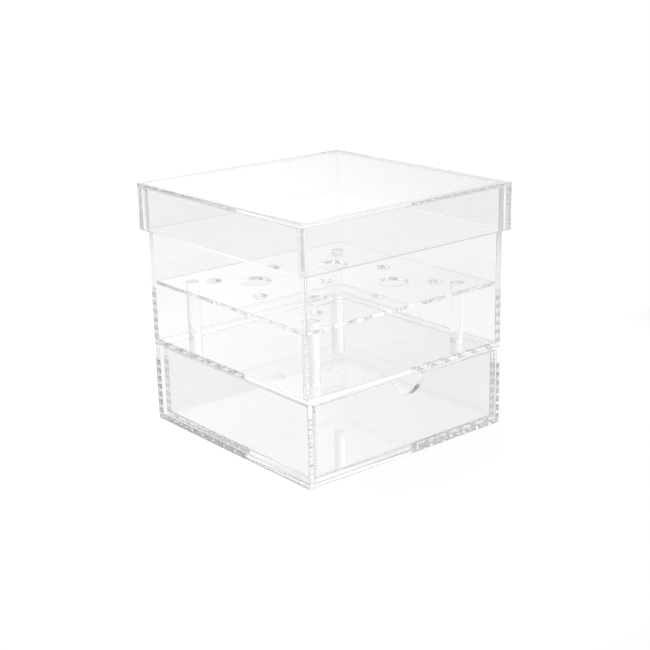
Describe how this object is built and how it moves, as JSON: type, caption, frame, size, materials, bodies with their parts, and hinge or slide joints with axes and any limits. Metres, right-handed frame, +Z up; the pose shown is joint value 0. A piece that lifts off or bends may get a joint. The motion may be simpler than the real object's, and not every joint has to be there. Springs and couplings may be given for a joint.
{
  "type": "desk organizer box with drawer",
  "caption": "Clear acrylic square box with a lift-off skirted lid, a removable holed shelf on round posts and a drawer with a half-round finger notch below.",
  "frame": {"origin": "centre of the footprint, on the surface the box stands on", "axes": "+Z up, -Y towards the user, the way the drawer opens, +X to the right seen from the drawer"},
  "size_m": [0.2096, 0.2096, 0.2],
  "materials": {
    "acrylic_4mm_sheet": "clear, polished",
    "acrylic_3mm_sheet": "clear, polished",
    "acrylic_rod": "clear, polished"
  },
  "bodies": {
    "cabinet": {"bottom_plate": "acrylic_4mm_sheet", "bay_left_wall": "acrylic_4mm_sheet", "bay_right_wall": "acrylic_4mm_sheet", "bay_back_wall": "acrylic_4mm_sheet", "middle_deck": "acrylic_4mm_sheet", "upper_front_wall": "acrylic_4mm_sheet", "upper_back_wall": "acrylic_4mm_sheet", "upper_left_wall": "acrylic_4mm_sheet", "upper_right_wall": "acrylic_4mm_sheet"},
    "lid": {"lid_top_plate": "acrylic_3mm_sheet", "lid_front_skirt": "acrylic_4mm_sheet", "lid_back_skirt": "acrylic_4mm_sheet", "lid_left_skirt": "acrylic_4mm_sheet", "lid_right_skirt": "acrylic_4mm_sheet"},
    "shelf": {"shelf_plate": "acrylic_3mm_sheet", "shelf_post_front_left": "acrylic_rod", "shelf_post_front_right": "acrylic_rod", "shelf_post_back_left": "acrylic_rod", "shelf_post_back_right": "acrylic_rod"},
    "drawer": {"drawer_floor": "acrylic_4mm_sheet", "drawer_front": "acrylic_4mm_sheet", "drawer_back": "acrylic_4mm_sheet", "drawer_left_side": "acrylic_4mm_sheet", "drawer_right_side": "acrylic_4mm_sheet"}
  },
  "joints": [
    {"name": "lid_lift", "type": "slide", "parent": "cabinet", "child": "lid", "axis": [0, 0, 1], "range_m": [0, 0.06]},
    {"name": "shelf_lift", "type": "slide", "parent": "cabinet", "child": "shelf", "axis": [0, 0, 1], "range_m": [0, 0.07]},
    {"name": "drawer_slide", "type": "slide", "parent": "cabinet", "child": "drawer", "axis": [0, -1, 0], "range_m": [0, 0.15]}
  ]
}
